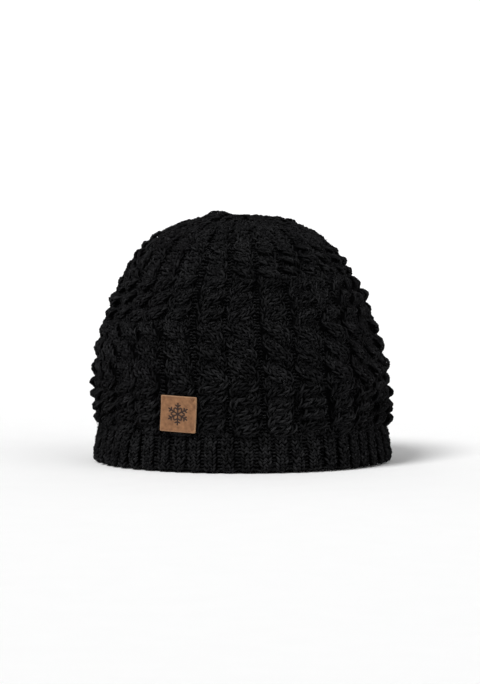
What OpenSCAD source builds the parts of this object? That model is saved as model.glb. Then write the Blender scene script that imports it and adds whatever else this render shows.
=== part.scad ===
// Hand-knitted cable beanie with a fleece ear band, standing open as it sits on a head.
// Millimetres, +Z up. The origin is the middle of the brim's lower edge, and the front faces -Y.

/* [Size] */
// Radius over the ribs and cables of the straight side
body_r = 98; // [90:1:106]
// Height from the brim's lower edge to the top of the crown
hat_h = 165; // [150:1:180]
// Height of the straight side, above which the dome leans in
side_h = 40; // [38:1:48]
// Height above the straight side at which the lean begins to show
lean_h = 45; // [35:1:55]
// Radius that the crown's flat top is rounded from
shoulder_r = 82; // [74:1:88]

/* [Knit] */
// Thickness of the knit, cables included
knit_t = 6; // [5:0.5:7]
// How far the ribs and cables stand above the ground between them
relief = 2.5; // [1.5:0.5:3]
// Height of the ribbed brim
rib_h = 24.5; // [20:0.5:30]
// Number of ribs round the brim
rib_count = 54; // [48:6:60]
// Share of each rib's pitch that is raised
rib_share = 0.6; // [0.5:0.05:0.7]
// Number of cables round the body
cable_count = 27; // [21:3:33]
// Share of each cable's pitch that is raised
cable_share = 0.7; // [0.6:0.05:0.8]
// Turn of the first rib and cable from the front, towards +X
column_turn = 2; // [0:1:15]
// Height of the plain waist between the ribs and the cables
waist_h = 1; // [0.5:0.5:2]

/* [Lining] */
// Thickness of the fleece ear band
fleece_t = 1.8; // [1.5:0.1:2.5]
// Height of the ear band's lower edge above the brim's edge
fleece_low = 5; // [3:0.5:8]
// Thickness of its seam threads
thread_d = 0.9; // [0.6:0.1:1.2]

/* [Patch] */
// Side of the square leather patch
patch_w = 24.5; // [20:0.5:28]
// Thickness of the leather
patch_t = 1.6; // [1.2:0.1:2]
// Height of the patch's middle above the brim's edge
patch_z = 39; // [38:0.5:42]
// Angle of the patch round the hat from the front, towards -X
patch_turn = 25; // [20:1:40]
// Tilt of the patch, clockwise as a viewer in front sees it
patch_tilt = 1.5; // [0:0.5:3]

/* [Labels] */
// Width of the care label
care_w = 22; // [18:1:24]
// Free length of the care label, below its sewn edge
care_l = 28; // [20:1:29]
// Angle of the care label round the hat from +X
care_turn = 106; // [104:1:115]
// Width of the size tab
tab_w = 12; // [10:1:14]
// Free length of the size tab
tab_l = 12; // [10:1:16]
// Angle of the size tab round the hat from +X
tab_turn = 77; // [70:1:80]
// Thickness of one layer of label cloth
label_t = 0.5; // [0.4:0.1:0.6]

/* [Hidden] */

// A place on the wall is (u, depth): u runs from 0 at the brim, through 1 where the dome begins, to 2 at
// the middle of the crown, and depth is measured inwards from the tops of the cables.
rib_top_u = rib_h / side_h;
cable_low_u = (rib_h + waist_h) / side_h;
crown_u = 1.7;
columns_end_u = 1.9;
fleece_low_u = fleece_low / side_h;
fleece_top_u = 1.15;
lining_depth = knit_t + fleece_t;
lining_r = body_r - lining_depth;

round_fn = 96;
thread_fn = 16;
dome_steps = 20;
column_bite = 0.5;

front = -90;
back = 90;

hem_h = 4.4;
hem_gap = 0.4;
hem_top = side_h - 0.2;
hinge_z = hem_top - hem_h - hem_gap;
care_hinge_r = lining_r - 1.35;
tab_hinge_r = lining_r - 1.1;
hem_margin_deg = 0.2;
label_thread_r = 0.35;

patch_corner_r = 0.8;
patch_prism = 20;
stitch_inset = 2.2;
stitch_r = 0.35;
stitch_l = 2.4;
stitch_sink = 3.5;

gather_ring_r = 5;
gather_yarn_r = 1.6;
gather_rise = 0.6;
knot_r = 3;
knot_drop = 2;

seam_deg = 0.6;
seam_half_t = 0.4;

black_yarn = "#17181a";
black_fleece = "#1c1d20";
black_thread = "#101114";
tan_leather = "#a9784f";
tan_thread = "#b98a5f";
label_cloth = "#e6e4df";

dome = [
    [body_r, side_h],
    [body_r, side_h + lean_h],
    [shoulder_r, hat_h],
    [0, hat_h]
];

function bezier(p, t) =
    pow(1 - t, 3) * p[0] + 3 * t * pow(1 - t, 2) * p[1] + 3 * t * t * (1 - t) * p[2] + pow(t, 3) * p[3];

function bezier_slope(p, t) =
    3 * pow(1 - t, 2) * (p[1] - p[0]) + 6 * t * (1 - t) * (p[2] - p[1]) + 3 * t * t * (p[3] - p[2]);

// The unit normal that points out of the dome at t.
function dome_normal(t) =
    let (slope = bezier_slope(dome, t))
    [slope[1], -slope[0]] / norm(slope);

// Radius and height of the wall at u and depth.
function wall_point(u, depth) =
    u <= 1 ? [body_r - depth, u * side_h]
           : bezier(dome, u - 1) - depth * dome_normal(u - 1);

// Outline of the wall at one depth. Every part bends at the same places up the dome, so that parts that
// touch share their surface.
function wall_path(u0, u1, depth) =
    concat([wall_point(u0, depth)],
           [for (i = [0 : dome_steps])
               let (u = 1 + i / dome_steps)
               if (u > u0 + 0.001 && u < u1 - 0.001) wall_point(u, depth)],
           [wall_point(u1, depth)]);

function reversed(list) = [for (i = [len(list) - 1 : -1 : 0]) list[i]];

module wall_section(u0, u1, depth0, depth1) {
    polygon(concat(wall_path(u0, u1, depth0), reversed(wall_path(u0, u1, depth1))));
}

// A stretch of wall all the way round.
module wall_ring(u0, u1, depth0, depth1) {
    rotate_extrude($fn = round_fn)
        wall_section(u0, u1, depth0, depth1);
}

// A stretch of wall that covers only an angle, centred on turn.
module wall_strip(u0, u1, depth0, depth1, turn, angle) {
    rotate([0, 0, turn - angle / 2])
        rotate_extrude(angle = angle, $fn = round_fn)
            wall_section(u0, u1, depth0, depth1);
}

// Raised columns, evenly spaced.
module wall_columns(count, share, u0, u1) {
    pitch = 360 / count;
    for (i = [0 : count - 1])
        wall_strip(u0, u1, 0, relief + column_bite, front + column_turn + i * pitch, pitch * share);
}

module knit_wall(count, share, u0, u1, columns_u0, columns_u1) {
    union() {
        wall_ring(u0, u1, relief, knit_t);
        wall_columns(count, share, columns_u0, columns_u1);
    }
}

// A thread that runs round the inside of the wall at u, half sunk into the surface at depth.
module ring_thread(u, depth, radius) {
    rotate_extrude($fn = round_fn)
        translate(wall_point(u, depth))
            circle(r = radius, $fn = thread_fn);
}

module rounded_square(side, corner) {
    half = side / 2 - corner;
    square([side, 2 * half], center = true);
    square([2 * half, side], center = true);
    for (x = [-half, half], y = [-half, half])
        translate([x, y])
            circle(r = corner, $fn = 24);
}

// Places children in the patch's own frame: X and Y across its face, +Z out of the hat.
module on_patch(radius) {
    rotate([0, 0, front - patch_turn])
        translate([radius, 0, patch_z])
            rotate([0, 90, 0])
                rotate([0, 0, 90 - patch_tilt])
                    children();
}

// A flat label that hangs from its hinge line just inside the lining.
module label_flap(turn, hinge_r, width, length, thickness) {
    rotate([0, 0, turn])
        translate([hinge_r - thickness / 2, -width / 2, hinge_z - length])
            cube([thickness, width, length]);
}

module label_hem(turn, width) {
    wall_strip((hem_top - hem_h) / side_h, hem_top / side_h, lining_depth, lining_depth + label_t,
               turn, hem_angle(width));
}

function hem_angle(width) = 2 * (asin(width / 2 / lining_r) - hem_margin_deg);

// The stitched line that holds a label's hem to the lining.
module hem_stitching(turn, width) {
    angle = hem_angle(width) - 4 * hem_margin_deg;
    rotate([0, 0, turn - angle / 2])
        rotate_extrude(angle = angle, $fn = round_fn)
            translate([lining_r - label_t, hem_top - hem_h / 2])
                circle(r = label_thread_r, $fn = thread_fn);
}

module rib_band() {
    color(black_yarn)
        knit_wall(rib_count, rib_share, 0, rib_top_u, 0, rib_top_u);
}

module cable_body() {
    color(black_yarn)
        knit_wall(cable_count, cable_share, rib_top_u, crown_u, cable_low_u, crown_u);
}

module crown() {
    color(black_yarn)
        knit_wall(cable_count, cable_share, crown_u, 2, crown_u, columns_end_u);
}

// The yarn that draws the last stitches together, with its knot inside the crown.
module gather_yarn() {
    ring_z = hat_h - gather_rise;
    knot_z = hat_h - knit_t - knot_drop;
    color(black_yarn) {
        translate([0, 0, ring_z])
            rotate_extrude($fn = 48)
                translate([gather_ring_r, 0])
                    circle(r = gather_yarn_r, $fn = thread_fn);
        translate([gather_ring_r, 0, knot_z])
            cylinder(r = gather_yarn_r * 0.8, h = ring_z - knot_z, $fn = thread_fn);
        translate([gather_ring_r, 0, knot_z])
            sphere(r = knot_r, $fn = 32);
    }
}

module leather_patch() {
    color(tan_leather)
        intersection() {
            difference() {
                cylinder(r = body_r + patch_t, h = side_h + patch_w, $fn = round_fn);
                translate([0, 0, -1])
                    cylinder(r = body_r, h = side_h + patch_w + 2, $fn = round_fn);
            }
            on_patch(body_r - patch_prism / 2)
                linear_extrude(patch_prism)
                    rounded_square(patch_w, patch_corner_r);
        }
}

// One tack at each corner of the patch, through the leather and into the knit.
module patch_stitches() {
    corner = patch_w / 2 - stitch_inset;
    chord_drop = body_r - sqrt(body_r * body_r - corner * corner);
    color(tan_thread)
        for (x = [-corner, corner], y = [-corner, corner])
            on_patch(body_r + patch_t - chord_drop)
                translate([x, y, 0]) {
                    translate([0, -stitch_l / 2, 0])
                        rotate([-90, 0, 0])
                            cylinder(r = stitch_r, h = stitch_l, $fn = thread_fn);
                    for (end = [-1, 1])
                        translate([0, end * (stitch_l / 2 - stitch_r), -stitch_sink])
                            cylinder(r = stitch_r, h = stitch_sink, $fn = thread_fn);
                }
}

module fleece_band() {
    color(black_fleece)
        wall_ring(fleece_low_u, fleece_top_u, knit_t, lining_depth);
}

module lining_top_thread() {
    color(black_thread)
        ring_thread(fleece_top_u - 0.02, lining_depth, thread_d / 2);
}

module lining_bottom_thread() {
    color(black_thread)
        ring_thread(fleece_low_u + 0.04, lining_depth, thread_d / 2);
}

module lining_back_seam() {
    color(black_thread)
        wall_strip(fleece_low_u + 0.08, fleece_top_u - 0.04, lining_depth - seam_half_t,
                   lining_depth + seam_half_t, back, seam_deg);
}

module label_hems() {
    color(label_cloth) {
        label_hem(care_turn, care_w);
        label_hem(tab_turn, tab_w);
    }
}

module label_stitches() {
    color(black_thread) {
        hem_stitching(care_turn, care_w);
        hem_stitching(tab_turn, tab_w);
    }
}

module care_label() {
    color(label_cloth)
        label_flap(care_turn, care_hinge_r, care_w, care_l, label_t);
}

// The size tab is folded double.
module size_tab() {
    color(label_cloth)
        label_flap(tab_turn, tab_hinge_r, tab_w, tab_l, 2 * label_t);
}

rib_band();
cable_body();
crown();
gather_yarn();
leather_patch();
patch_stitches();
fleece_band();
lining_top_thread();
lining_bottom_thread();
lining_back_seam();
label_hems();
label_stitches();
care_label();
size_tab();
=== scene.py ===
"""Looks of the knit beanie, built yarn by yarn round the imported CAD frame. All lengths are metres.

A place in the fabric is (phi, s, h): the angle round the hat, the arc length up the wall from the brim, and
the height above the middle of the cables. A wale is a column of stitches, and a row runs round the hat.
"""
import math
import bpy
import numpy as np
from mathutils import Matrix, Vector


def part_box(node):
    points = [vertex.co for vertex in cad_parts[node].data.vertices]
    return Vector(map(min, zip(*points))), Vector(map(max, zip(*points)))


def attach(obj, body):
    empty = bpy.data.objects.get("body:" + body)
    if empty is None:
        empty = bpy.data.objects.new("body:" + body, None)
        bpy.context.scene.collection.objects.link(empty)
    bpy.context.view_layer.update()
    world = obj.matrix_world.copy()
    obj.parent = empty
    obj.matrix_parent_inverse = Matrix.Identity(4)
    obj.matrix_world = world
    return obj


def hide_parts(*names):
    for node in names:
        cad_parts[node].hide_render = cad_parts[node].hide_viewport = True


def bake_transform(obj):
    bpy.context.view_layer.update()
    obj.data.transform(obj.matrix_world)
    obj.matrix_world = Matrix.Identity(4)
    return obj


MM = 0.001
TURN = 2 * math.pi
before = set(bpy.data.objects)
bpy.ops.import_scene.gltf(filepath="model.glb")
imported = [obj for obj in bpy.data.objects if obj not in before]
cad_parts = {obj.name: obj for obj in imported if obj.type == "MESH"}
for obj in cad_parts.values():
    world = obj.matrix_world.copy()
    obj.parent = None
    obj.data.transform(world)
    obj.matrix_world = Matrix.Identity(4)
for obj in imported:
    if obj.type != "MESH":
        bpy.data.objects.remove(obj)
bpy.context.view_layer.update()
random = np.random.default_rng(11)


# ---------------------------------------------------------------- helpers

def centre_of(node):
    low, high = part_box(node)
    return (low + high) / 2


def unit(v):
    return v / np.maximum(np.linalg.norm(v, axis=-1, keepdims=True), 1e-12)


def bell(x, middle, width):
    return np.exp(-(((x - middle) / width) ** 2))


def ease(x, low, high):
    """0 below low, 1 above high, and smooth between them."""
    t = np.clip((x - low) / (high - low), 0, 1)
    return t * t * (3 - 2 * t)


def every(*values):
    """Flat arrays that hold every combination of some values."""
    return [grid.ravel() for grid in np.meshgrid(*values, indexing="ij")]


# ---------------------------------------------------------------- sizes

# The wall's section, as in the CAD: a straight side, then one cubic curve to the middle of the crown
BODY_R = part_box("rib_band")[1].x
RIB_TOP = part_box("rib_band")[1].z
HAT_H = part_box("crown")[1].z
SIDE_H = 40 * MM
LEAN_H = 45 * MM
SHOULDER_R = 82 * MM
CURVE_STEPS = 1500
# How far along the curve the crown's decreases begin
CROWN_SHARE = 0.7

# Thicknesses, and the radius of the lining's inner face
KNIT_T = 6 * MM
FLEECE_T = 1.8 * MM
CABLE_DEPTH = 2.6 * MM
LINING_R = BODY_R - KNIT_T - FLEECE_T

# Layers, as heights above the middle of the cables
INNER_H = CABLE_DEPTH - KNIT_T
GROUND_H = INNER_H + 0.9 * MM
LOWEST_H = GROUND_H + 0.2 * MM
PURL_H = -0.8 * MM
RIB_GAP_H = -1.6 * MM
LINING_H = INNER_H - FLEECE_T

# Stitches. WALE is the angle of one wale in the ribs, and a rib repeats every four wales
CABLES = 27
RIBS = 2 * CABLES
WALE = TURN / (4 * RIBS)
FIRST_CABLE = math.radians(-88)
ROW = 2.1 * MM
GROUND_ROW = 1.7 * MM
GROUND_AROUND = 8 * RIBS
YARN_PER_WALE = 0.25
YARN_RANGE = (0.45 * MM, 0.8 * MM)
FUZZ_COUNT = 9000

# Leather patch. PATCH_CROWDING says how closely its mesh crowds towards the edges, as a share of the most
PATCH_SIDE = 24.5 * MM
PATCH_SQUASH = 0.935
PATCH_T = 1.6 * MM
PATCH_TILT = math.radians(2.3)
PATCH_CORNER = 0.7 * MM
PATCH_TURN = math.atan2(centre_of("leather_patch").y, centre_of("leather_patch").x) + math.radians(1)
PATCH_Z = centre_of("leather_patch").z - 1.5 * MM
PATCH_STEPS = 150
PATCH_CROWDING = 0.985
TACK_PLACE = PATCH_SIDE / 2 - 2.2 * MM

# The stamped snowflake: the length of its arms, and as shares of it where each pair of barbs stands and how
# long the barbs are
FLAKE_R = 7.2 * MM
BARBS = ((0.42, 0.30), (0.70, 0.24))

# The lining: its mesh, its zigzag seams, and the angle of its back seam
FLEECE_AROUND = 560
FLEECE_ROWS = 60
ZIGZAG_REACH = 2.6 * MM
ZIGZAG_COUNT = 288
SEAM_TURN = TURN / 4

# Labels: the hem's height, the free gap between it and the hinge line, and the ribbon
HEM_H = 4.4 * MM
HEM_GAP = 0.4 * MM
LABEL_T = 0.5 * MM
LABEL_WIDTHS = {"care_label": 22 * MM, "size_tab": 12 * MM}
LABEL_STEPS = (29, 80)


# ---------------------------------------------------------------- the wall

def meridian():
    """Arc length, radius and height, and outward normal of the cables' middle, from the brim to the pole."""
    t = np.linspace(0, 1, CURVE_STEPS)[:, None]
    p = np.array([[BODY_R, SIDE_H], [BODY_R, SIDE_H + LEAN_H], [SHOULDER_R, HAT_H], [0, HAT_H]])
    curve = (1 - t) ** 3 * p[0] + 3 * t * (1 - t) ** 2 * p[1] + 3 * t * t * (1 - t) * p[2] + t**3 * p[3]
    slope = (1 - t) ** 2 * (p[1] - p[0]) + 2 * t * (1 - t) * (p[2] - p[1]) + t * t * (p[3] - p[2])
    normal = unit(np.stack([slope[:, 1], -slope[:, 0]], 1))
    dome = curve - CABLE_DEPTH * normal
    climb = np.cumsum(np.linalg.norm(np.diff(dome, axis=0), axis=1))
    arc = np.concatenate([[0, SIDE_H], SIDE_H + climb])
    wall = np.concatenate([[[BODY_R - CABLE_DEPTH, 0]], dome])
    return arc, wall, np.concatenate([[[1.0, 0.0]], normal])


def make_wobble(terms, turns, per_metre):
    """A smooth random field over the wall, about as high as 1: sines with whole numbers of waves round it."""
    waves = random.integers(turns[0], turns[1], terms) * random.choice([-1, 1], terms)
    climb = random.uniform(per_metre[0], per_metre[1], terms)
    phase = random.uniform(0, TURN, terms)
    size = random.uniform(0.6, 1, terms) * 1.6 / terms**0.5

    def wobble(phi, s):
        return sum(size[i] * np.sin(waves[i] * phi + climb[i] * s + phase[i]) for i in range(terms))

    return wobble


ARC, WALL, NORMAL = meridian()
POLE = ARC[-1]
CROWN_S = ARC[1 + round(CROWN_SHARE * (CURVE_STEPS - 1))]
FLEECE_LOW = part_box("fleece_band")[0].z
FLEECE_TOP = float(np.interp(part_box("fleece_band")[1].z, WALL[:, 1], ARC))
broad_wave = make_wobble(5, (2, 5), (8, 25))
fine_wave = make_wobble(8, (8, 26), (60, 200))
drift_wave = make_wobble(6, (3, 12), (25, 90))
climb_wave = make_wobble(6, (3, 12), (20, 70))
hollow_wave = make_wobble(8, (10, 40), (150, 500))


def radius_at(s):
    return np.interp(s, ARC, WALL[:, 0])


def slack(phi, s):
    """How far the knitting wanders in and out from the even wall."""
    to_pole = POLE - s
    brim = 1.6 * MM * bell(s, 4 * MM, 10 * MM)
    waist = -0.9 * MM * bell(s, 23 * MM, 6 * MM)
    uneven = 0.6 * broad_wave(phi, s) + 0.45 * fine_wave(phi, s) * ease(s, 8 * MM, 35 * MM)
    waves = uneven * MM * ease(to_pole, 2 * MM, 25 * MM)
    shoulder = 3.4 * MM * bell(to_pole, 52 * MM, 22 * MM)
    pole_dip = -1.0 * MM * bell(to_pole, 0, 8 * MM)
    hump = 3.2 * MM * bell(to_pole, 14 * MM, 8 * MM) * bell(np.cos(phi - math.radians(200)), 1, 0.4)
    dent = -2.6 * MM * bell(s, 108 * MM, 18 * MM) * bell(np.cos(phi), -1, 0.9)
    return brim + waist + waves + shoulder + pole_dip + hump + dent


def sway(z):
    """How far the hat leans along X at a height: the shoulder sits to one side, and the top less so."""
    return -2.5 * MM * ease(z, 30 * MM, 105 * MM) * (1 - 0.45 * ease(z, 120 * MM, 150 * MM))


def press(phi, s, h):
    """Heights after the leather patch has pressed the knitting flat under it."""
    facing = np.cos(phi - PATCH_TURN) > 0
    across = np.where(facing, np.abs(np.sin(phi - PATCH_TURN)), 1) * BODY_R
    outside = np.maximum(np.maximum(across, np.abs(s - PATCH_Z)) - PATCH_SIDE / 2, 0)
    ceiling = CABLE_DEPTH - 1.1 * MM + 5 * MM * ease(outside, -1 * MM, 4 * MM)
    softness = 1.5 * MM
    knee = ceiling - softness
    return np.where(h > knee, ceiling - softness * np.exp((knee - h) / softness), h)


def place(phi, s, h):
    """Points of the fabric in the part's frame. The lining stays round, so the slack fades out towards it."""
    lined = 1 - ease(s, FLEECE_TOP, FLEECE_TOP + 20 * MM)
    free = 1 - lined * np.clip(h / INNER_H, 0, 1)
    h = press(phi, s, h + slack(phi, s) * free)
    rho = np.interp(s, ARC, WALL[:, 0]) + np.interp(s, ARC, NORMAL[:, 0]) * h
    z = np.interp(s, ARC, WALL[:, 1]) + np.interp(s, ARC, NORMAL[:, 1]) * h
    return np.stack([rho * np.cos(phi) + sway(z) * free, rho * np.sin(phi), z], -1)


def outward(phi, s):
    flat = np.interp(s, ARC, NORMAL[:, 0])
    return np.stack([flat * np.cos(phi), flat * np.sin(phi), np.interp(s, ARC, NORMAL[:, 1])], -1)


# ---------------------------------------------------------------- strands
# Strands are (centres, radii, ups): centres and ups are (strand, point, xyz), and radii are (strand, point).

def fabric_strands(phi, s, h, radii):
    """Strands that follow places in the fabric."""
    phi, s, h, radii = np.broadcast_arrays(phi, s, h, radii)
    return place(phi, s, h), radii, outward(phi, s)


def free_strands(centres, radius, ups=None):
    """Strands of one thickness through points of the part's frame. ups points outward, unless it is given."""
    if ups is None:
        ups = unit(centres * (1, 1, 0))
    return centres, np.full(centres.shape[:2], radius), np.broadcast_to(ups, centres.shape)


def join_strands(strands):
    return tuple(np.concatenate(parts) for parts in zip(*strands))


# ---------------------------------------------------------------- meshes

def new_object(name, verts, loops, counts, material, uvs=None, tones=None):
    """An object from flat arrays. Its faces are runs of vertex numbers in loops, as long as counts says."""
    mesh = bpy.data.meshes.new(name)
    mesh.vertices.add(len(verts))
    mesh.vertices.foreach_set("co", verts.astype(np.float32).ravel())
    mesh.loops.add(len(loops))
    mesh.loops.foreach_set("vertex_index", loops.astype(np.int32))
    mesh.polygons.add(len(counts))
    starts = np.cumsum(counts) - counts
    mesh.polygons.foreach_set("loop_start", starts.astype(np.int32))
    mesh.update(calc_edges=True)
    mesh.polygons.foreach_set("use_smooth", np.ones(len(counts), bool))
    if uvs is not None:
        mesh.uv_layers.new(name="yarn").data.foreach_set("uv", uvs.astype(np.float32).ravel())
    for key, values in (tones or {}).items():
        layer = mesh.attributes.new(key, "FLOAT", "POINT")
        layer.data.foreach_set("value", values.astype(np.float32).ravel())
    mesh.materials.append(material)
    made = bpy.data.objects.new(name, mesh)
    bpy.context.scene.collection.objects.link(made)
    return made


def tubes(name, strands, material, sides=8, ply_depth=0.32, twist=2.2):
    """A closed tube along each strand, twisted by twist radians, and two-ply where ply_depth is above 0."""
    centres, radii, ups = strands
    count, rings = centres.shape[:2]
    ahead = unit(np.gradient(centres, axis=1))
    across = unit(np.cross(ahead, ups))
    above = np.cross(across, ahead)
    corner = np.linspace(0, TURN, sides, endpoint=False)
    plies = 1 - ply_depth * np.sin(corner) ** 2
    angle = corner + np.linspace(0, twist, rings)[:, None] + random.uniform(0, TURN, (count, 1, 1))
    wheel = np.cos(angle)[..., None] * across[:, :, None] + np.sin(angle)[..., None] * above[:, :, None]
    verts = centres[:, :, None] + (radii[:, :, None] * plies)[..., None] * wheel

    ring, side = np.meshgrid(np.arange(rings - 1), np.arange(sides), indexing="ij")
    after = (side + 1) % sides
    quads = np.stack([ring * sides + side, ring * sides + after,
                      (ring + 1) * sides + after, (ring + 1) * sides + side], -1).ravel()
    caps = [np.arange(sides)[::-1], (rings - 1) * sides + np.arange(sides)]
    loops = np.arange(count)[:, None] * rings * sides + np.concatenate([quads, *caps])
    counts = np.tile(np.concatenate([np.full((rings - 1) * sides, 4), [sides, sides]]), count)

    u = np.concatenate([np.stack([ring, ring, ring + 1, ring + 1], -1).ravel() / (rings - 1),
                        np.zeros(sides), np.ones(sides)])
    v = np.concatenate([np.stack([side, side + 1, side + 1, side], -1).ravel() / sides,
                        np.arange(sides) / sides, np.arange(sides) / sides])
    length = np.linalg.norm(np.diff(centres, axis=1), axis=-1).sum(1)
    girths = length / (TURN * radii.mean(1))
    uvs = np.stack([girths[:, None] * u + 10 * random.random(count)[:, None], np.tile(v, (count, 1))], -1)

    # Painted shade: each tube's colour is darkened towards its two ends, where the yarn dives into the
    # fabric, as if shadowed there; own_tone is a random shade for each tube
    own_tone = random.random(count)[:, None]
    painted_shade_profile = np.sin(math.pi * np.linspace(0, 1, rings)) ** 0.8
    tones = {"tone": np.repeat((own_tone + painted_shade_profile) / 2, sides, axis=1)}
    return new_object(name, verts.reshape(-1, 3), loops.ravel(), counts, material, uvs.reshape(-1, 2), tones)


def slab(name, top, bottom, material, tones):
    """A closed solid between two grids of points of the same size."""
    n, m = top.shape[:2]
    verts = np.concatenate([top.reshape(-1, 3), bottom.reshape(-1, 3)])
    i, j = np.meshgrid(np.arange(n - 1), np.arange(m - 1), indexing="ij")
    face = np.stack([i * m + j, (i + 1) * m + j, (i + 1) * m + j + 1, i * m + j + 1], -1).reshape(-1, 4)
    rim = np.concatenate([np.arange(m), np.arange(1, n) * m + m - 1,
                          (n - 1) * m + np.arange(m - 2, -1, -1), np.arange(n - 2, 0, -1) * m])
    after = np.roll(rim, -1)
    wall = np.stack([rim, after, after + n * m, rim + n * m], -1)
    quads = np.concatenate([face, face[:, ::-1] + n * m, wall])
    return new_object(name, verts, quads.ravel(), np.full(len(quads), 4), material, tones=tones)


def grid_quads(around, rows, base):
    """Outward faces of a grid that closes round the hat, numbered from base."""
    i, j = np.meshgrid(np.arange(around), np.arange(rows - 1), indexing="ij")
    after = (i + 1) % around
    faces = np.stack([i * rows + j, after * rows + j, after * rows + j + 1, i * rows + j + 1], -1)
    return base + faces.reshape(-1, 4)


def band(name, around, outer_s, inner_s, outer_h, inner_h, material, closed_top=False):
    """A closed solid all round the hat, between an outer and an inner face, each with rows of its own."""
    phi = np.linspace(0, TURN, around, endpoint=False)
    faces = []
    for s, height in ((outer_s, outer_h), (inner_s, inner_h)):
        grid = np.meshgrid(phi, s, indexing="ij")
        faces.append(place(*grid, height(*grid)).reshape(-1, 3))
    rows, inner_rows = len(outer_s), len(inner_s)
    shift = around * rows
    i = np.arange(around)
    after = (i + 1) % around
    quads = [grid_quads(around, rows, 0), grid_quads(around, inner_rows, shift)[:, ::-1]]
    quads.append(np.stack([i * rows, shift + i * inner_rows, shift + after * inner_rows, after * rows], -1))
    if not closed_top:
        high, inner_high = rows - 1, shift + inner_rows - 1
        quads.append(np.stack([i * rows + high, after * rows + high,
                               inner_high + after * inner_rows, inner_high + i * inner_rows], -1))
    quads = np.concatenate(quads)
    return new_object(name, np.concatenate(faces), quads.ravel(), np.full(len(quads), 4), material)


# ---------------------------------------------------------------- materials

def node_material(name):
    material = bpy.data.materials.new(name)
    material.use_nodes = True
    return material, material.node_tree, material.node_tree.nodes["Principled BSDF"]


def arithmetic(tree, operation, *values):
    node = tree.nodes.new("ShaderNodeMath")
    node.operation = operation
    for socket, value in zip(node.inputs, values):
        if isinstance(value, (int, float)):
            socket.default_value = value
        else:
            tree.links.new(value, socket)
    return node.outputs[0]


def attribute(tree, name):
    node = tree.nodes.new("ShaderNodeAttribute")
    node.attribute_name = name
    return node.outputs["Fac"]


def noise(tree, scale, detail=3.0, vector=None):
    """Noise over the object, or over a vector, with scale cells to the metre or the unit."""
    node = tree.nodes.new("ShaderNodeTexNoise")
    node.inputs["Scale"].default_value = scale
    node.inputs["Detail"].default_value = detail
    if vector is None:
        vector = tree.nodes.new("ShaderNodeTexCoord").outputs["Object"]
    tree.links.new(vector, node.inputs["Vector"])
    return node.outputs["Fac"]


def fibres(tree, along, around):
    """Noise drawn out along each yarn, and slanted as its fibres are spun."""
    uv = tree.nodes.new("ShaderNodeUVMap")
    uv.uv_map = "yarn"
    stretch = tree.nodes.new("ShaderNodeMapping")
    stretch.inputs["Scale"].default_value = (along, around, 1)
    stretch.inputs["Rotation"].default_value = (0, 0, 0.35)
    tree.links.new(uv.outputs["UV"], stretch.inputs["Vector"])
    return noise(tree, 1.0, 2.0, stretch.outputs["Vector"])


def mix_colour(tree, amount, low, high):
    node = tree.nodes.new("ShaderNodeMix")
    node.data_type = "RGBA"
    tree.links.new(amount, node.inputs["Factor"])
    for key, colour in (("A", low), ("B", high)):
        if isinstance(colour, tuple):
            node.inputs[key].default_value = (*colour, 1)
        else:
            tree.links.new(colour, node.inputs[key])
    return node.outputs["Result"]


def add_bump(tree, shader, height, distance):
    node = tree.nodes.new("ShaderNodeBump")
    node.inputs["Distance"].default_value = distance
    tree.links.new(height, node.inputs["Height"])
    tree.links.new(node.outputs["Normal"], shader.inputs["Normal"])


def add_roughness(tree, shader, pattern, low, high):
    rough = arithmetic(tree, "MULTIPLY_ADD", pattern, high - low, low)
    tree.links.new(rough, shader.inputs["Roughness"])


def yarn_material(name, low, high, specular):
    """Spun yarn: fibres along it, a random shade of its own for each stitch, painted shade darkening each
    stitch towards its ends, and broad dark and light places.
    """
    material, tree, shader = node_material(name)
    strands = fibres(tree, along=1.6, around=7.0)
    fluff = noise(tree, 2600.0)
    height = arithmetic(tree, "ADD", strands, arithmetic(tree, "MULTIPLY", fluff, 0.7))
    add_bump(tree, shader, height, 0.35 * MM)
    # The tone attribute holds a random shade for each stitch mixed with painted shade towards each stitch's
    # ends
    tone = arithmetic(tree, "MULTIPLY", attribute(tree, "tone"), arithmetic(tree, "ADD", strands, 0.35))
    tone = arithmetic(tree, "MULTIPLY", tone, arithmetic(tree, "ADD", noise(tree, 60.0), 0.5))
    tone = arithmetic(tree, "POWER", tone, 1.8)
    tree.links.new(mix_colour(tree, tone, low, high), shader.inputs["Base Color"])
    add_roughness(tree, shader, strands, 0.75, 1.0)
    shader.inputs["Specular IOR Level"].default_value = specular
    return material


def fleece_material():
    """Black fleece with a fine brushed nap, and broader places where it is rubbed."""
    material, tree, shader = node_material("black_fleece")
    nap = noise(tree, 900.0, 5.0)
    rubbed = noise(tree, 75.0, 2.0)
    tone = arithmetic(tree, "MULTIPLY", arithmetic(tree, "ADD", nap, rubbed), 0.5)
    colour = mix_colour(tree, tone, (0.006, 0.006, 0.007), (0.022, 0.022, 0.024))
    tree.links.new(colour, shader.inputs["Base Color"])
    add_bump(tree, shader, nap, 0.5 * MM)
    add_roughness(tree, shader, nap, 0.8, 1.0)
    shader.inputs["Specular IOR Level"].default_value = 0.08
    shader.inputs["Sheen Weight"].default_value = 0.1
    shader.inputs["Sheen Roughness"].default_value = 0.6
    return material


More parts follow.
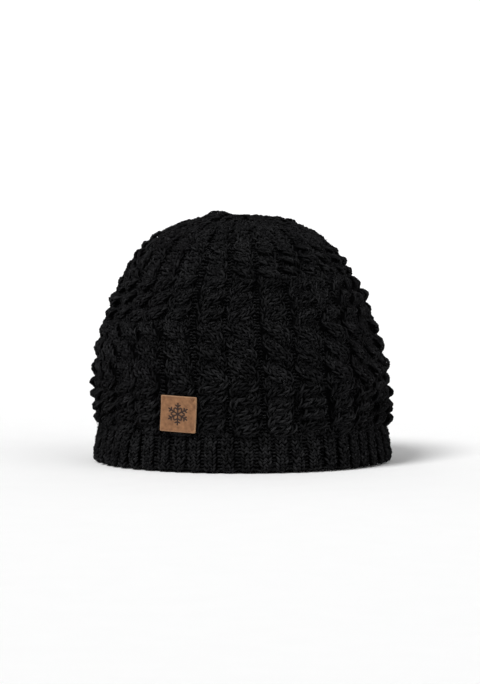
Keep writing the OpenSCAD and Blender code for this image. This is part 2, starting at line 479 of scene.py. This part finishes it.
def leather_material():
    """Tan leather with a fine grain, paler cut edges and a dark brown stamped mark."""
    material, tree, shader = node_material("tan_leather")
    blotch = noise(tree, 330.0, 5.0)
    pores = noise(tree, 1500.0, 4.0)
    mottle = arithmetic(tree, "MULTIPLY", arithmetic(tree, "SUBTRACT", blotch, 0.3), 2.5)
    hide = mix_colour(tree, mottle, (0.165, 0.074, 0.033), (0.370, 0.184, 0.085))
    hide = mix_colour(tree, arithmetic(tree, "MULTIPLY", pores, 0.6), hide, (0.115, 0.052, 0.024))
    cut_edge = arithmetic(tree, "MULTIPLY", attribute(tree, "rim"), 0.5)
    hide = mix_colour(tree, cut_edge, hide, (0.50, 0.31, 0.18))
    stamped = mix_colour(tree, attribute(tree, "mark"), hide, (0.026, 0.013, 0.009))
    tree.links.new(stamped, shader.inputs["Base Color"])
    add_bump(tree, shader, arithmetic(tree, "ADD", pores, blotch), 0.12 * MM)
    add_roughness(tree, shader, blotch, 0.5, 0.72)
    shader.inputs["Specular IOR Level"].default_value = 0.3
    return material


def label_material():
    """White satin ribbon with a fine grain, and grey woven lines in place of any words."""
    material, tree, shader = node_material("label_satin")
    grain = noise(tree, 4200.0, 1.0)
    fabric = mix_colour(tree, grain, (0.62, 0.61, 0.58), (0.80, 0.79, 0.76))
    striped = mix_colour(tree, attribute(tree, "stripe"), fabric, (0.16, 0.16, 0.17))
    tree.links.new(striped, shader.inputs["Base Color"])
    add_bump(tree, shader, grain, 0.06 * MM)
    add_roughness(tree, shader, grain, 0.42, 0.62)
    shader.inputs["Sheen Weight"].default_value = 0.2
    return material


BLACK_YARN = yarn_material("black_yarn", (0.0012, 0.0012, 0.0014), (0.0255, 0.0255, 0.0268), specular=0.03)
BLACK_THREAD = yarn_material("black_thread", (0.004, 0.004, 0.0045), (0.02, 0.02, 0.021), specular=0.3)
TAN_THREAD = yarn_material("tan_thread", (0.16, 0.075, 0.035), (0.42, 0.22, 0.11), specular=0.3)
FLEECE = fleece_material()
LEATHER = leather_material()
LABEL = label_material()


# ---------------------------------------------------------------- stitches

# A leg of a knit stitch and the bump of a purl stitch, each in six points: across in wales, up in rows, and
# height in yarn radii. SWELL is the yarn's thickness at those points
LEG_SPREAD = np.array([0.02, 0.11, 0.25, 0.39, 0.50, 0.53])
LEG_RISE = np.array([-0.28, -0.01, 0.26, 0.54, 0.81, 1.08])
LEG_HEIGHT = np.array([-1.4, 0.15, 0.65, 0.5, -0.1, -1.4])
BUMP_SPREAD = np.linspace(-0.62, 0.62, 6)
BUMP_RISE = np.array([-0.12, 0.16, 0.32, 0.32, 0.16, -0.12])
BUMP_HEIGHT = np.array([-0.8, 0.1, 0.4, 0.4, 0.1, -0.8])
SWELL = np.array([0.8, 1, 1.04, 1.04, 1, 0.8])
SLOPE_STEP = 0.2 * MM


def yarn_radius(width):
    return np.clip(YARN_PER_WALE * width, *YARN_RANGE)


def knit_legs(wale, row_s, path, pitch, row=ROW):
    """Both legs of each V. wale says where a stitch is across its strip, and row_s how far up the wall.
    path(s) gives the strip's angle and height, and pitch is the angle of one wale."""
    legs = []
    for side in (-1, 1):
        jitter = random.normal(0, 1, (4, len(wale), 1))
        across = wale[:, None] + side * LEG_SPREAD * (1 + 0.15 * jitter[0]) + 0.08 * jitter[1]
        s = row_s[:, None] + row * (LEG_RISE + 0.14 * jitter[2])
        phi = path(s)[0]
        radius = radius_at(s)
        slant = (path(s + SLOPE_STEP)[0] - phi) * radius / SLOPE_STEP
        stretch = np.sqrt(1 + slant**2)
        width = pitch * radius
        yarn = yarn_radius(width) * (1 + 0.07 * jitter[3])
        phi = phi + across * pitch / stretch
        s = s - across * width * slant / stretch
        h = path(s)[1] + (LEG_HEIGHT + 0.35 * random.normal(0, 1, (len(wale), 1))) * yarn
        legs.append(fabric_strands(phi, s, np.maximum(h, LOWEST_H), yarn * SWELL))
    return join_strands(legs)


def purl_bumps(phi, row_s, h, pitch, row=ROW):
    """One arched bump for each purl stitch, which is a stitch seen from behind."""
    jitter = random.normal(0, 1, (4, len(phi), 1))
    yarn = yarn_radius(pitch * radius_at(row_s)[:, None]) * (1 + 0.08 * jitter[0])
    phi = phi[:, None] + pitch * (BUMP_SPREAD + 0.06 * jitter[1])
    s = row_s[:, None] + row * (BUMP_RISE * (1 + 0.3 * jitter[2]) + 0.1 * jitter[3])
    h = np.broadcast_to(h, row_s.shape)[:, None] + BUMP_HEIGHT * yarn
    return fabric_strands(phi, s, np.maximum(h, LOWEST_H), yarn * SWELL)


# ---------------------------------------------------------------- cables

# A strand has three wales, and two from NARROW_S upwards, where the hat closes in
WIDE_WALES = 3
NARROW_WALES = 2
NARROW_S = 126 * MM

# Each zone of cables: where it begins, how often the strands cross in it, and which way the upper strand
# leans, 1 for up to the left and -1 for up to the right
ZONES = [
    (RIB_TOP - 1 * MM, 4, -1),
    (56 * MM, 3, 1),
    (95 * MM, 3, -1),
    (NARROW_S, 4, 1),
]
ZONES_END = CROWN_S + 4 * MM

# The purl wales between two cables, which are drawn together
GAP_WALES = 2
GAP_SQUEEZE = 0.7

# How far a strand rises where it crosses over, the share of that by which it sinks where it crosses under,
# how much lower its edges lie, and how far below its middle the ground comes
STRAND_LIFT = 3.0 * MM
SUNK_SHARE = 0.5
EDGE_DROP = 0.75 * MM
STRAND_T = 0.85 * MM


def crossing(s):
    """Half turns that a cable's two strands have made round each other by s, and their lean there."""
    starts, crossings, leans = (np.array(column) for column in zip(*ZONES))
    half_turns = np.interp(s, [*starts, ZONES_END], np.cumsum([0, *crossings]))
    zone = np.clip(np.searchsorted([*starts, ZONES_END], s) - 1, 0, len(ZONES) - 1)
    return half_turns, leans[zone]


def cable_middle(cable, s):
    """The angle of a cable's middle, which drifts a little to and fro."""
    middle = FIRST_CABLE + cable * TURN / CABLES
    drift = 0.7 * WALE * ease(s, RIB_TOP, 40 * MM) * (1 - ease(s, 120 * MM, CROWN_S))
    return middle + drift * drift_wave(middle, s)


def cable_pitch(wales):
    """The angle of one wale, where a strand has this many."""
    return TURN / CABLES / (2 * wales + GAP_WALES * GAP_SQUEEZE)


def strand_middle(cable, side, s, wales):
    """The angle and height of the middle of one of a cable's two strands. They lie side by side for longer
    than they take to cross, and lie flatter at the shoulder and just above the ribs."""
    middle = cable_middle(cable, s)
    half_turns, lean = crossing(s + 1.6 * MM * climb_wave(middle, s))
    share = np.cos(math.pi * half_turns)
    share = share * (1.25 - 0.25 * share**2)
    rise = side * lean * np.sin(math.pi * half_turns)
    flatter = 0.35 * ease(s, 105 * MM, 130 * MM) + 0.65 * ease(s, CROWN_S - 8 * MM, CROWN_S)
    tuck = 1 - ease(s, RIB_TOP - 2 * MM, RIB_TOP + 6 * MM)
    lift = STRAND_LIFT * (1 + 0.3 * fine_wave(middle, s)) * (1 - flatter) * (1 - 0.6 * tuck)
    swing = (wales / 2 + 0.2) * cable_pitch(wales)
    height = rise * lift * np.where(rise > 0, 1, SUNK_SHARE) + 0.3 * MM - 0.9 * MM * tuck
    return middle + side * swing * share, height


def strand_path(cable, side, wale, wales):
    """The course of a strand, as knit_legs takes it, rounded down towards its edges."""
    side = side[:, None]
    round_off = EDGE_DROP * (2 * wale[:, None] / wales) ** 2

    def path(s):
        phi, h = strand_middle(cable, side, s, wales)
        return phi, h - round_off

    return path


def cable_stitches(cable):
    """Every stitch of one cable, and of the purl gap beside it."""
    parts = []
    for low, high, wales in ((RIB_TOP, NARROW_S, WIDE_WALES), (NARROW_S, CROWN_S, NARROW_WALES)):
        rows = np.arange(low, high, ROW)
        pitch = cable_pitch(wales)
        side, wale, row_s = every([-1, 1], np.arange(wales) - (wales - 1) / 2, rows)
        parts.append(knit_legs(wale, row_s, strand_path(cable, side, wale, wales), pitch))
        gap, row_s = every(np.arange(GAP_WALES) + 0.5, rows)
        phi = cable_middle(cable, row_s) + (wales + gap * GAP_SQUEEZE) * pitch
        hollow = PURL_H + 0.8 * MM * hollow_wave(phi, row_s)
        parts.append(purl_bumps(phi, row_s, hollow, GAP_SQUEEZE * pitch))
    return join_strands(parts)


def cable_ground(phi, s):
    """Height of the fabric behind the cables' stitches, which fills the hollows under the strands."""
    cable = np.round((phi - FIRST_CABLE) * CABLES / TURN)
    wales = np.where(s < NARROW_S, WIDE_WALES, NARROW_WALES)
    height = GROUND_H + 0.3 * MM
    for side in (-1, 1):
        middle, strand_h = strand_middle(cable, side, s, wales)
        away = np.abs(phi - middle) / cable_pitch(wales)
        cover = 1 - ease(away, wales / 2 - 0.1, wales / 2 + 0.5)
        height = height + np.maximum(strand_h - STRAND_T - height, 0) * cover
    return height


# ---------------------------------------------------------------- ribs

# A rib's wales, in wales from its middle: two knit ones, spread wide, and two sunken purl ones
RIB_KNIT = (-0.5, 0.5)
RIB_PURL = (1.6, 2.4)
RIB_SPREAD = 1.2


def rib_path(rib):
    """The course of some ribs, as knit_legs takes it, which tuck in below the cables."""
    middle = FIRST_CABLE + rib[:, None] * 4 * WALE

    def path(s):
        tuck = ease(s, RIB_TOP - 5 * MM, RIB_TOP)
        return middle + 0.5 * WALE * drift_wave(middle, s), 0.2 * MM - 1.0 * MM * tuck

    return path


def rib_stitches():
    """Every stitch of the brim, over its cast-on edge."""
    rows = np.arange(2.2 * MM, RIB_TOP - 0.3 * ROW, ROW)
    rib, wale, row_s = every(np.arange(RIBS), RIB_KNIT, rows)
    knit = knit_legs(wale, row_s, rib_path(rib), RIB_SPREAD * WALE)
    rib, gap, row_s = every(np.arange(RIBS), RIB_PURL, rows)
    purl = purl_bumps(FIRST_CABLE + (rib * 4 + gap) * WALE, row_s, RIB_GAP_H, WALE)
    return join_strands([knit, purl, cast_on()])


def cast_on():
    """The slanting loops of the brim's lower edge, which lie deeper between the ribs."""
    along = np.linspace(0, 1, 6)
    phi = FIRST_CABLE + (np.arange(RIBS * 4)[:, None] - 0.75 + 1.7 * along) * WALE
    rib_wave = np.cos((phi - FIRST_CABLE) * RIBS)
    uneven = 0.25 * MM * random.normal(0, 1, (len(phi), 1))
    s = 1.9 * MM + 0.9 * MM * along + uneven - 0.5 * MM * rib_wave
    h = -1.3 * MM + 0.9 * MM * rib_wave + 0.7 * MM * np.sin(math.pi * along)
    return fabric_strands(phi, s, h, 0.72 * MM * SWELL)


# ---------------------------------------------------------------- crown

# The decreases: the arc left to the pole where each band of rows ends, and the knit and purl wales that are
# left above each cable. CROWN_TWIST is the climb in which a ridge of knit wales sways once to and fro
CROWN_BANDS = [
    (34 * MM, 3, 1),
    (21 * MM, 2, 1),
    (11 * MM, 2, 0),
    (4 * MM, 1, 0),
]
CROWN_TWIST = 11 * MM


def crown_path(column, wale, knit, pitch):
    """The course of the crown's wales, as knit_legs takes it: a ridge that swells and sways as it climbs."""
    middle = FIRST_CABLE + column * TURN / CABLES
    ridge = 0.9 * MM * (1 - (wale / max(1, knit / 2)) ** 2)

    def path(s):
        turn = TURN * s / CROWN_TWIST + 2.4 * column
        height = ridge * (1 + 0.5 * np.cos(turn)) - 0.6 * MM + 0.7 * MM * fine_wave(middle, s)
        return middle + 0.35 * pitch * np.sin(turn), height

    return path


def crown_stitches():
    """The crown's stitches, band by band: strands for the knit ones, and others for any purl ones."""
    parts = []
    start = CROWN_S
    columns = np.arange(CABLES)
    for left, knit, purl in CROWN_BANDS:
        end = POLE - left
        count = round((end - start) / ROW)
        row = (end - start) / count
        rows = start + row * np.arange(count)
        pitch = TURN / CABLES / (knit + purl)
        column, wale, row_s = every(columns, np.arange(knit) - (knit - 1) / 2, rows)
        path = crown_path(column[:, None], wale[:, None], knit, pitch)
        parts.append(knit_legs(wale, row_s, path, pitch, row))
        if purl:
            column, row_s = every(columns, rows)
            phi = FIRST_CABLE + column * TURN / CABLES + (knit + purl) / 2 * pitch
            parts.append(purl_bumps(phi, row_s, PURL_H - 0.4 * MM, pitch, row))
        start = end
    return parts


def fuzz():
    """Loose fibres that stand off the yarn, spread evenly over the hat."""
    phi = random.uniform(0, TURN, FUZZ_COUNT)
    s = random.uniform(2 * MM, POLE - 8 * MM, FUZZ_COUNT)
    kept = random.random(FUZZ_COUNT) < radius_at(s) / BODY_R
    phi, s = phi[kept, None], s[kept, None]
    t = np.linspace(0, 1, 4)
    shape = (len(phi), 1)
    length = random.uniform(1.5 * MM, 4.0 * MM, shape)
    heading = random.uniform(0, TURN, shape) + random.normal(0, 1.2, shape) * t
    phi = phi + np.cos(heading) * t * length / radius_at(s)
    s = np.clip(s + np.sin(heading) * t * length, 1 * MM, POLE)
    h = 0.5 * MM + random.uniform(0.6, 1.9, shape) * MM * np.sin(math.pi * 0.62 * t)
    return fabric_strands(phi, s, h, 0.05 * MM * (1 - 0.6 * t))


# ---------------------------------------------------------------- knitted pieces

def put(piece, node):
    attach(piece, "hat")
    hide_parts(node)


def make_cables():
    for cable in range(CABLES):
        piece = tubes(f"cable_knit_{cable + 1:02d}", cable_stitches(cable), BLACK_YARN)
        put(piece, "cable_body")


def make_ribs():
    """The brim's stitches, in three pieces to keep each mesh small."""
    strands = rib_stitches()
    third = len(strands[0]) // 3
    for number, part in enumerate(zip(*(np.split(array, [third, 2 * third]) for array in strands)), 1):
        put(tubes(f"rib_knit_{number}", part, BLACK_YARN), "rib_band")


def make_crown():
    for number, strands in enumerate(crown_stitches(), 1):
        put(tubes(f"crown_knit_{number}", strands, BLACK_YARN), "crown")


def make_ground(name, low, high, node, outer_h, closed_top=False):
    """The fabric behind the stitches, whose inner face shows the bumps of the purl side."""
    rows = round((high - low) / ROW)
    row = (high - low) / rows
    outer_s = np.linspace(low, high, round((high - low) / GROUND_ROW))
    inner_s = np.linspace(low, high, 2 * rows + 1)

    def inner_h(phi, s):
        wale = np.cos(TURN * (phi / WALE + 0.5 * np.floor((s - low) / row)))
        bump = np.abs(np.sin(math.pi * (s - low) / row)) * (0.65 + 0.35 * wale)
        return INNER_H + 0.75 * MM * (1 - bump)

    piece = band(name, GROUND_AROUND, outer_s, inner_s, outer_h, inner_h, BLACK_YARN, closed_top)
    put(piece, node)


def make_grounds():
    def rib_ground(phi, s):
        return GROUND_H

    def crown_ground(phi, s):
        return GROUND_H + 0.9 * MM

    make_ground("rib_ground", 3 * MM, RIB_TOP, "rib_band", rib_ground)
    make_ground("body_ground", RIB_TOP, CROWN_S, "cable_body", cable_ground)
    make_ground("crown_ground", CROWN_S, POLE, "crown", crown_ground, closed_top=True)


def make_fuzz():
    piece = tubes("yarn_fuzz", fuzz(), BLACK_YARN, sides=3, ply_depth=0, twist=0)
    put(piece, "cable_body")


def make_gather_ring():
    """The yarn drawn through the last stitches: almost two turns round the pole."""
    turn = np.linspace(0, TURN * 1.97, 90)
    ring_r = (4.2 + 0.5 * np.sin(7 * turn)) * MM
    top = HAT_H - 2.2 * MM
    z = top + 0.7 * MM * np.sin(6 * turn) + 0.25 * MM * turn / TURN
    ring = np.stack([ring_r * np.cos(turn) + sway(top), ring_r * np.sin(turn), z], -1)
    strands = free_strands(ring[None], 0.85 * MM, ups=(0, 0, 1))
    put(tubes("gather_ring", strands, BLACK_YARN, twist=60), "gather_yarn")


def make_gather_knot():
    """The gathering yarn's knot inside the crown, with two tails and the stretch that goes up to the ring."""
    t = np.linspace(0, 1, 60)
    knot_x = 4 * MM
    knot_z = HAT_H - KNIT_T - 2 * MM
    winding = np.stack([
        np.sin(2 * TURN * t) + 2 * np.sin(3 * TURN * t),
        np.cos(2 * TURN * t) - 2 * np.cos(3 * TURN * t),
        -np.sin(5 * TURN * t),
    ], -1)
    courses = [winding * 0.62 * MM + (knot_x, 0, knot_z)]
    for side in (-1, 1):
        x = knot_x + side * 3 * MM * t
        y = side * 2 * MM * np.sin(3 * t)
        z = knot_z - 8 * MM * t - side * 2 * MM * t * t
        courses.append(np.stack([x, y, z], -1))
    up_z = knot_z + (HAT_H - 2 * MM - knot_z) * t
    courses.append(np.stack([knot_x * np.cos(t), 3 * MM * np.sin(2 * t), up_z], -1))
    strands = free_strands(np.stack(courses), 0.8 * MM, ups=(0.3, 0.2, 1))
    put(tubes("gather_knot", strands, BLACK_YARN, twist=20), "gather_yarn")


# ---------------------------------------------------------------- lining

def make_fleece():
    """The ear band: a brushed inner face, with soft edges and a shallow valley along the back seam."""
    nap_noise = make_wobble(24, (60, 260), (600, 2600))

    def outer_h(phi, s):
        return INNER_H - 0.02 * MM

    def inner_h(phi, s):
        rim = np.sqrt(ease(np.minimum(s - FLEECE_LOW, FLEECE_TOP - s), -0.5 * MM, 2.5 * MM))
        from_seam = 2 * BODY_R * np.sin((phi - SEAM_TURN) / 2)
        valley = 0.8 * MM * bell(from_seam, 0, 1.6 * MM)
        return INNER_H - FLEECE_T * (0.45 + 0.55 * rim) + 0.16 * MM * nap_noise(phi, s) + valley

    rows = np.linspace(FLEECE_LOW, FLEECE_TOP, FLEECE_ROWS)
    piece = band("ear_band_fleece", FLEECE_AROUND, rows[::12], rows, outer_h, inner_h, FLEECE)
    put(piece, "fleece_band")


def put_thread(name, strands, node):
    put(tubes(name, strands, BLACK_THREAD, sides=6, twist=3), node)


def zigzag(name, s, node):
    """A zigzag seam round the lining: each stitch runs from one needle hole to the next."""
    t = np.linspace(0, 1, 6)
    stitch = np.arange(ZIGZAG_COUNT)[:, None]
    phi = (stitch + t) * TURN / ZIGZAG_COUNT
    up = np.where(stitch % 2 == 0, t, 1 - t)
    sink = 0.5 * MM * (1 - np.sin(math.pi * t) ** 0.5)
    strands = fabric_strands(phi, s + ZIGZAG_REACH * (up - 0.5), LINING_H + 0.12 * MM + sink, 0.28 * MM)
    put_thread(name, strands, node)


def back_seam(name, node):
    """The flat seam that joins the ends of the ear band: stitches that slant across the join."""
    t = np.linspace(0, 1, 6)
    s = np.arange(FLEECE_LOW + 3.5 * MM, FLEECE_TOP - 3.5 * MM, 1.6 * MM)[:, None] + 0.9 * MM * t
    phi = SEAM_TURN + (t - 0.5) * 4.2 * MM / LINING_R
    sink = 0.7 * MM * (1 - np.sin(math.pi * t) ** 0.6)
    put_thread(name, fabric_strands(phi, s, LINING_H + 0.1 * MM + sink, 0.28 * MM), node)


# ---------------------------------------------------------------- leather patch

def segment_distance(x, y, start, end):
    ax, ay = end[0] - start[0], end[1] - start[1]
    t = np.clip(((x - start[0]) * ax + (y - start[1]) * ay) / (ax * ax + ay * ay), 0, 1)
    return np.hypot(x - start[0] - t * ax, y - start[1] - t * ay)


def direction(angle):
    return np.array([math.cos(angle), math.sin(angle)])


def snowflake(x, y):
    """How much of the stamped mark covers each point: a plain six-armed snowflake."""
    nearest = np.full(x.shape, 1.0)
    for arm in range(6):
        angle = arm * TURN / 6 + TURN / 12
        nearest = np.minimum(nearest, segment_distance(x, y, (0, 0), direction(angle) * FLAKE_R))
        for place_share, length_share in BARBS:
            foot = direction(angle) * FLAKE_R * place_share
            for turn in (-TURN / 6, TURN / 6):
                tip = foot + direction(angle + turn) * FLAKE_R * length_share
                nearest = np.minimum(nearest, segment_distance(x, y, foot, tip))
    return 1 - ease(nearest, 0.38 * MM, 0.62 * MM)


def on_patch(x, y, lift):
    """Points x across and y up the patch, lift above the cables' tops. It was sewn on a little squashed."""
    y = y * PATCH_SQUASH
    across = x * math.cos(PATCH_TILT) + y * math.sin(PATCH_TILT)
    up = y * math.cos(PATCH_TILT) - x * math.sin(PATCH_TILT)
    phi = PATCH_TURN + across / BODY_R
    rho = BODY_R + lift
    return np.stack([rho * np.cos(phi), rho * np.sin(phi), PATCH_Z + up], -1)


def corner_shrink(x, y, half):
    """How far to draw points of a square in, along their rays, so that its corners come out round."""
    far = np.maximum(np.abs(x), np.abs(y))
    near = np.minimum(np.abs(x), np.abs(y))
    over = np.clip((near / np.maximum(far, 1e-9) * half - (half - PATCH_CORNER)) / PATCH_CORNER, 0, 1)
    cut = 0.7 * PATCH_CORNER * (1 - np.sqrt(1 - over**2))
    return 1 - cut / half * (far / half)


def patch_grid():
    """Points over the patch, closer together towards its edges, and how far each is inside the edge."""
    half = PATCH_SIDE / 2
    bend = PATCH_CROWDING * TURN / 4 * np.linspace(-1, 1, PATCH_STEPS)
    line = half * np.sin(bend) / math.sin(bend[-1])
    x, y = np.meshgrid(line, line[::-1], indexing="ij")
    shrink = corner_shrink(x, y, half)
    x, y = x * shrink, y * shrink
    return x, y, half * shrink - np.maximum(np.abs(x), np.abs(y))


def make_patch():
    """The leather patch, with rounded edges, curled corners, a stamped mark and a dip at each tack."""
    x, y, inset = patch_grid()
    edge = 1 - np.clip(inset / (0.7 * MM), 0, 1)
    rounding = 0.55 * MM * (1 - np.sqrt(1 - edge**2))
    curl = 0.35 * MM * (x * y) ** 2 / (PATCH_SIDE / 2) ** 4
    swell = 0.12 * MM * np.sin(x * 260 + 1) * np.sin(y * 210)
    mark = snowflake(x, y)
    tack_dip = 0.25 * MM * bell(np.hypot(np.abs(x) - TACK_PLACE, np.abs(y) - TACK_PLACE), 0, 1.2 * MM)
    top = PATCH_T + curl + swell - rounding - 0.28 * MM * mark - tack_dip
    bottom = curl + 0.3 * rounding
    rim = 0.8 * (1 - np.clip(inset / (0.9 * MM), 0, 1))
    tones = {"mark": np.concatenate([mark, 0 * mark]), "rim": np.concatenate([rim, 0 * rim + 1])}
    piece = slab("leather_patch_tan", on_patch(x, y, top), on_patch(x, y, bottom), LEATHER, tones)
    put(piece, "leather_patch")


def make_tacks():
    """One tack at each corner of the patch, of a thread close to the leather's colour."""
    t = np.linspace(-1, 1, 6)
    y, x = every([-TACK_PLACE, TACK_PLACE], [-TACK_PLACE, TACK_PLACE])
    lift = PATCH_T + 0.1 * MM - 1.1 * MM * np.abs(t) ** 3
    points = on_patch(*np.broadcast_arrays(x[:, None], y[:, None] + 1.2 * MM * t, lift))
    piece = tubes("patch_tacks", free_strands(points, 0.33 * MM), TAN_THREAD, twist=3)
    put(piece, "patch_stitches")


# ---------------------------------------------------------------- labels

def make_label(name, body, thickness, ripple, bars):
    """A ribbon label: its hem lies flat against the lining and the rest hangs from the hinge line."""
    width = LABEL_WIDTHS[body]
    centre = centre_of(body)
    turn = math.atan2(centre.y, centre.x)
    hang_r = math.hypot(centre.x, centre.y)
    tip_z, hinge_z = (corner.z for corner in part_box(body))
    hem_top = hinge_z + HEM_GAP + HEM_H
    across = np.linspace(-width / 2, width / 2, LABEL_STEPS[0])
    side, z = np.meshgrid(across, np.linspace(hem_top, tip_z, LABEL_STEPS[1]), indexing="ij")

    sewn = ease(z, hinge_z - 3 * MM, hinge_z + 0.3 * MM)
    hem_r = np.sqrt((LINING_R - LABEL_T / 2) ** 2 - side**2)
    fall = np.clip((hinge_z - z) / (hinge_z - tip_z), 0, 1)
    wave = ripple * fall * np.sin(side / width * 5.2 + 0.8) * np.sin(0.6 + 2.2 * fall)
    radial = hem_r * sewn + (hang_r - abs(wave)) * (1 - sewn)
    thick = LABEL_T + (thickness - LABEL_T) * (1 - sewn)
    faces = []
    for offset in (-0.5, 0.5):
        r = radial + offset * thick
        faces.append(np.stack([r * math.cos(turn) - side * math.sin(turn),
                               r * math.sin(turn) + side * math.cos(turn), z], -1))
    stripe = label_stripes(side, z, width, hinge_z, tip_z, bars)
    piece = slab(name, *faces, LABEL, {"stripe": np.concatenate([stripe, 0 * stripe])})

    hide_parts(body, "label_hems")
    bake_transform(piece)


def label_stripes(side, z, width, hinge_z, tip_z, bars):
    """Two woven lines along the edges, and short bars across in place of words."""
    stripe = 0.7 * (1 - ease(np.abs(np.abs(side) - width / 2 + 1.4 * MM), 0.25 * MM, 0.45 * MM))
    for i in range(bars):
        bar_z = hinge_z - 5 * MM - i * 3.4 * MM
        reach = width * (0.32 if i % 2 else 0.26)
        if bar_z > tip_z + 2.5 * MM:
            bar = (1 - ease(np.abs(z - bar_z), 0.5 * MM, 0.8 * MM)) * (np.abs(side) < reach)
            stripe = np.maximum(stripe, bar)
    return stripe


def make_label_stitches():
    """The running stitches that hold the labels' hems to the lining."""
    t = np.linspace(-1, 1, 6)
    face_r = LINING_R - LABEL_T
    courses = []
    for body, width in LABEL_WIDTHS.items():
        centre = centre_of(body)
        middles = np.arange(-width / 2 + 1.6 * MM, width / 2 - 1.2 * MM, 2.3 * MM)[:, None]
        phi = math.atan2(centre.y, centre.x) + (middles + 0.85 * MM * t) / face_r
        rho = face_r - 0.15 * MM + 0.6 * MM * np.abs(t) ** 3
        z = np.full(phi.shape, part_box(body)[1].z + HEM_GAP + HEM_H / 2)
        courses.append(np.stack([rho * np.cos(phi), rho * np.sin(phi), z], -1))
    put_thread("label_hem_stitches", free_strands(np.concatenate(courses), 0.24 * MM), "label_stitches")


make_cables()
make_ribs()
make_crown()
make_grounds()
make_fuzz()
zigzag("ear_band_top_stitches", FLEECE_TOP - 1.6 * MM, "lining_top_thread")
zigzag("ear_band_bottom_stitches", FLEECE_LOW + 1.6 * MM, "lining_bottom_thread")
back_seam("ear_band_back_seam", "lining_back_seam")
make_fleece()
make_patch()
make_tacks()
make_gather_ring()
make_gather_knot()
make_label("care_label_ribbon", "care_label", LABEL_T, ripple=0.5 * MM, bars=6)
make_label("size_tab_ribbon", "size_tab", 2 * LABEL_T, ripple=0.2 * MM, bars=1)
make_label_stitches()


# ---------------------------------------------------------------- stage, light and camera

FLOOR_WIDTH = 16.0
FLOOR_FRONT = -8.0
FLOOR_BACK = 3.0
FLOOR_BEND = 1.5
BACKDROP_H = 5.0

# A long lens from a little above the brim, so that the brim's ellipse is as open as it should be
LENS = 176
SENSOR = 36
CAMERA_DISTANCE = 2.2
CAMERA_HEIGHT = 205 * MM
CAMERA_TARGET = Vector((-1 * MM, 0, 78 * MM))


def paper_material():
    material, tree, shader = node_material("paper")
    grain = noise(tree, 40.0, 2.0)
    colour = mix_colour(tree, grain, (0.89, 0.89, 0.89), (0.91, 0.91, 0.91))
    tree.links.new(colour, shader.inputs["Base Color"])
    shader.inputs["Roughness"].default_value = 0.9
    shader.inputs["Specular IOR Level"].default_value = 0.0
    return material


def make_stage():
    """A pale floor that curves up far behind the hat."""
    turn = np.linspace(0, TURN / 4, 32)
    y = np.concatenate([[FLOOR_FRONT], FLOOR_BACK + FLOOR_BEND * np.sin(turn), [FLOOR_BACK + FLOOR_BEND]])
    z = np.concatenate([[0], FLOOR_BEND * (1 - np.cos(turn)), [BACKDROP_H]])
    sides = (-FLOOR_WIDTH / 2, FLOOR_WIDTH / 2)
    verts = np.array([(x, y[i], z[i]) for i in range(len(y)) for x in sides])
    i = np.arange(len(y) - 1) * 2
    quads = np.stack([i, i + 1, i + 3, i + 2], -1)
    new_object("floor", verts, quads.ravel(), np.full(len(quads), 4), paper_material())


def soft_sun(name, azimuth, elevation, strength, spread):
    """A broad light from far away, at an azimuth from the front towards +X, in degrees."""
    data = bpy.data.lights.new(name, "SUN")
    data.energy = strength
    data.angle = math.radians(spread)
    light = bpy.data.objects.new(name, data)
    az, el = math.radians(azimuth), math.radians(elevation)
    towards = Vector((math.sin(az) * math.cos(el), -math.cos(az) * math.cos(el), math.sin(el)))
    light.rotation_euler = towards.to_track_quat("Z", "Y").to_euler()
    bpy.context.scene.collection.objects.link(light)


def make_light():
    world = bpy.data.worlds.new("studio")
    world.use_nodes = True
    background = world.node_tree.nodes["Background"]
    background.inputs["Color"].default_value = (1, 1, 1, 1)
    background.inputs["Strength"].default_value = 0.28
    bpy.context.scene.world = world
    soft_sun("key", azimuth=-40, elevation=52, strength=2.4, spread=22)
    soft_sun("fill", azimuth=50, elevation=35, strength=0.7, spread=60)


def make_camera():
    data = bpy.data.cameras.new("camera")
    data.lens = LENS
    data.sensor_width = SENSOR
    camera = bpy.data.objects.new("camera", data)
    camera.location = (CAMERA_TARGET.x, -CAMERA_DISTANCE, CAMERA_HEIGHT)
    camera.rotation_euler = (CAMERA_TARGET - camera.location).to_track_quat("-Z", "Y").to_euler()
    bpy.context.scene.collection.objects.link(camera)
    bpy.context.scene.camera = camera
    bpy.context.scene.view_settings.view_transform = "Standard"


make_stage()
make_light()
make_camera()
